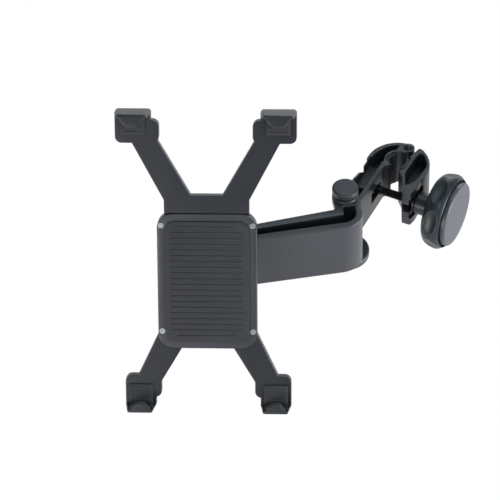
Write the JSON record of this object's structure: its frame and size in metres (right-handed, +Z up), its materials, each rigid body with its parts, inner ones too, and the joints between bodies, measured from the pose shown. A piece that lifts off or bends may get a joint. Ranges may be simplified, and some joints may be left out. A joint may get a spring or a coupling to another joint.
{
  "type": "headrest tablet mount",
  "caption": "Car headrest post clamp with a swing screw and scalloped knob, a swivel arm, a ball joint and a sprung four-claw tablet holder.",
  "frame": {"origin": "axis of the seat post between the two clamp pads, at the middle height of the jaws", "axes": "+Z up the post; -Y towards the passenger, the way the holder faces; +X to the knob's side, right as the passenger sees it"},
  "size_m": [0.2447, 0.1842, 0.1913],
  "materials": {
    "slate_moulding": "fine satin moulding",
    "dark_moulding": "semi-gloss moulding",
    "cap_moulding": "fine satin moulding",
    "black_rubber": "matt rubber",
    "black_steel": "blackened steel",
    "bright_steel": "zinc-plated steel",
    "brass": "turned brass",
    "nylon": "natural nylon"
  },
  "bodies": {
    "clamp": {"fixed_jaw": "slate_moulding", "fixed_grip_pad": "black_rubber", "jaw_hinge_pin": "black_steel", "hinge_pin_clip": "bright_steel", "eye_pin": "bright_steel"},
    "jaw": {"moving_jaw": "slate_moulding", "moving_grip_pad": "black_rubber"},
    "screw": {"swing_screw": "black_steel"},
    "washer": {"thrust_washer": "black_steel"},
    "knob": {"knob_insert": "brass", "clamp_knob": "dark_moulding", "knob_cap": "cap_moulding"},
    "arm": {"arm": "slate_moulding", "pivot_bolt": "bright_steel", "pivot_washer": "black_rubber", "pivot_cap": "slate_moulding", "knuckle_washers": "nylon", "ball_stud": "black_steel", "stud_screw": "bright_steel"},
    "lock": {"locking_knob": "slate_moulding", "locking_nut": "bright_steel"},
    "ball_pad": {"ball_seat": "nylon"},
    "ball_grip": {"grip_ring": "nylon"},
    "holder": {"rear_housing": "slate_moulding", "return_springs": "bright_steel", "front_cover": "slate_moulding", "cover_screws": "bright_steel", "back_pad": "black_rubber", "lower_claw_pads": "black_rubber"},
    "ring": {"locking_ring": "dark_moulding"},
    "yoke": {"slide_yoke": "slate_moulding", "upper_claw_pads": "black_rubber"}
  },
  "joints": [
    {"name": "arm_swing", "type": "hinge", "parent": "clamp", "child": "arm", "pos_m": [-0.03987, -0.03945, 0], "axis": [0, 0, 1], "range_deg": [-70, 25]},
    {"name": "lock_turn", "type": "hinge", "parent": "arm", "child": "lock", "pos_m": [-0.03987, -0.03945, 0], "axis": [0, 0, 1], "range_deg": [0, 90]},
    {"name": "screw_swing", "type": "hinge", "parent": "clamp", "child": "screw", "pos_m": [-0.02024, -0.01025, 0], "axis": [0, 0, -1], "range_deg": [0, 22]},
    {"name": "knob_travel", "type": "slide", "parent": "screw", "child": "washer", "axis": [0.866, -0.5, 0], "range_m": [-0.00151, 0.00801]},
    {"name": "knob_turn", "type": "hinge", "parent": "washer", "child": "knob", "pos_m": [0.00782, -0.02645, 0], "axis": [0.866, -0.5, 0], "range_deg": [-540, 2880]},
    {"name": "jaw_swing", "type": "hinge", "parent": "clamp", "child": "jaw", "pos_m": [0.00877, 0.01099, 0], "axis": [0, 0, 1], "range_deg": [-2.54, 13.5]},
    {"name": "ball_swivel", "type": "hinge", "parent": "arm", "child": "ball_pad", "pos_m": [-0.13622, -0.09835, 0], "axis": [0, 0, 1], "range_deg": [-25, 12]},
    {"name": "ball_tilt", "type": "hinge", "parent": "ball_pad", "child": "ball_grip", "pos_m": [-0.13622, -0.09835, 0], "axis": [0.9954, -0.0958, 0], "range_deg": [-5, 57.5]},
    {"name": "holder_turn", "type": "hinge", "parent": "ball_grip", "child": "holder", "pos_m": [-0.13622, -0.09835, 0], "axis": [-0.085, -0.8829, 0.4617], "continuous": true},
    {"name": "ring_turn", "type": "hinge", "parent": "holder", "child": "ring", "pos_m": [-0.13622, -0.09835, 0], "axis": [-0.085, -0.8829, 0.4617], "range_deg": [0, 180]},
    {"name": "yoke_slide", "type": "slide", "parent": "holder", "child": "yoke", "axis": [0.0443, 0.4596, 0.887], "range_m": [0, 0.04], "stiffness_N_per_m": 300, "springref_m": -0.02}
  ],
  "couplings": [
    {"joint": "knob_travel", "follows": "knob_turn", "m_per_rad": 0.00015915},
    {"joint": "jaw_swing", "follows": "knob_turn", "ratio": 0.004681}
  ]
}
